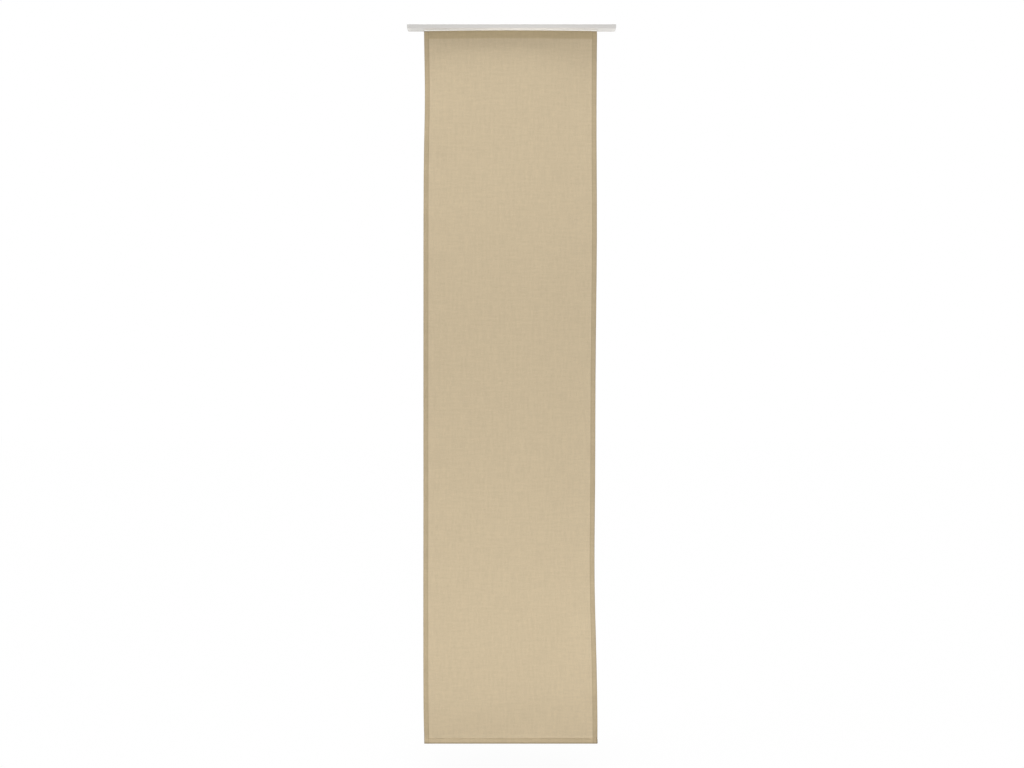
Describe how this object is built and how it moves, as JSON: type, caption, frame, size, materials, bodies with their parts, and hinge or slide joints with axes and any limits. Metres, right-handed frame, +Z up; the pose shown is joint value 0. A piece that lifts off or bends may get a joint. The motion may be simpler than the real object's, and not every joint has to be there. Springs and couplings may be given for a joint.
{
  "type": "sliding panel curtain",
  "caption": "Flat hemmed cloth panel held by hook-and-loop tape on a gliding carrier in a short ceiling track, with a weight bar in its bottom hem, for screening a window.",
  "frame": {"origin": "middle of the track's top face, where it lies against the ceiling", "axes": "+X along the track to the right seen from the room, +Y from the room towards the window, +Z up to the ceiling"},
  "size_m": [0.716, 0.0494, 2.4674],
  "materials": {
    "track_metal": "satin pale grey coat on an aluminium extrusion",
    "track_cap_plastic": "moulded pale grey plastic",
    "carrier_coat": "satin white coat on an aluminium extrusion",
    "small_cap_plastic": "moulded grey plastic",
    "glider_plastic": "slippery white plastic",
    "hook_and_loop": "white woven tape with hooks or loops",
    "panel_cloth": "plain weave with slubs, sand beige",
    "bar_metal": "mill finish flat bar"
  },
  "bodies": {
    "track": {"track_profile": "track_metal", "track_end_cap_left": "track_cap_plastic", "track_end_cap_right": "track_cap_plastic"},
    "panel": {"panel_carrier": "carrier_coat", "carrier_end_cap_left": "track_cap_plastic", "carrier_end_cap_right": "track_cap_plastic", "glider_1": "glider_plastic", "glider_2": "glider_plastic", "glider_3": "glider_plastic", "glider_4": "glider_plastic", "hook_tape": "hook_and_loop", "loop_tape": "hook_and_loop", "cloth_panel": "panel_cloth", "weight_bar": "bar_metal", "weight_bar_cap_left": "small_cap_plastic", "weight_bar_cap_right": "small_cap_plastic"}
  },
  "joints": [
    {"name": "panel_slide", "type": "slide", "parent": "track", "child": "panel", "axis": [1, 0, 0], "range_m": [-0.0545, 0.0615]}
  ]
}
